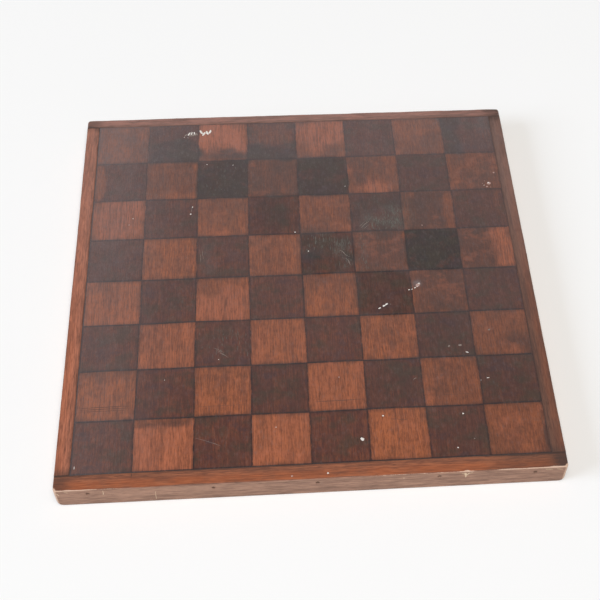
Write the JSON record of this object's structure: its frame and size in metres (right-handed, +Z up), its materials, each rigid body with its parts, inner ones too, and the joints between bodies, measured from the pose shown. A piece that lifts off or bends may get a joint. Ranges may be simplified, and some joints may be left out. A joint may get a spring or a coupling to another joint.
{
  "type": "chessboard",
  "caption": "Square wooden board with a scored and stained grid of light and dark squares, edged with four pinned strips of wood.",
  "frame": {"origin": "centre of the underside, on the surface that the board lies on", "axes": "+Z up out of the playing face, -Y toward the player whose left corner square is a1, +X toward the h file"},
  "size_m": [0.4318, 0.4318, 0.0254],
  "materials": {
    "panel_wood": "stained and thinly varnished mahogany, worn and dusty, dark stain on every second square",
    "lipping_wood": "thinly varnished mahogany, rubbed pale along the edges, dark with grime at the corners",
    "pin_steel": "bare steel, dulled and darkened"
  },
  "bodies": {
    "root": {"panel": "panel_wood", "front_lipping": "lipping_wood", "back_lipping": "lipping_wood", "left_lipping": "lipping_wood", "right_lipping": "lipping_wood", "front_pins": "pin_steel", "back_pins": "pin_steel", "left_pins": "pin_steel", "right_pins": "pin_steel"}
  },
  "joints": []
}
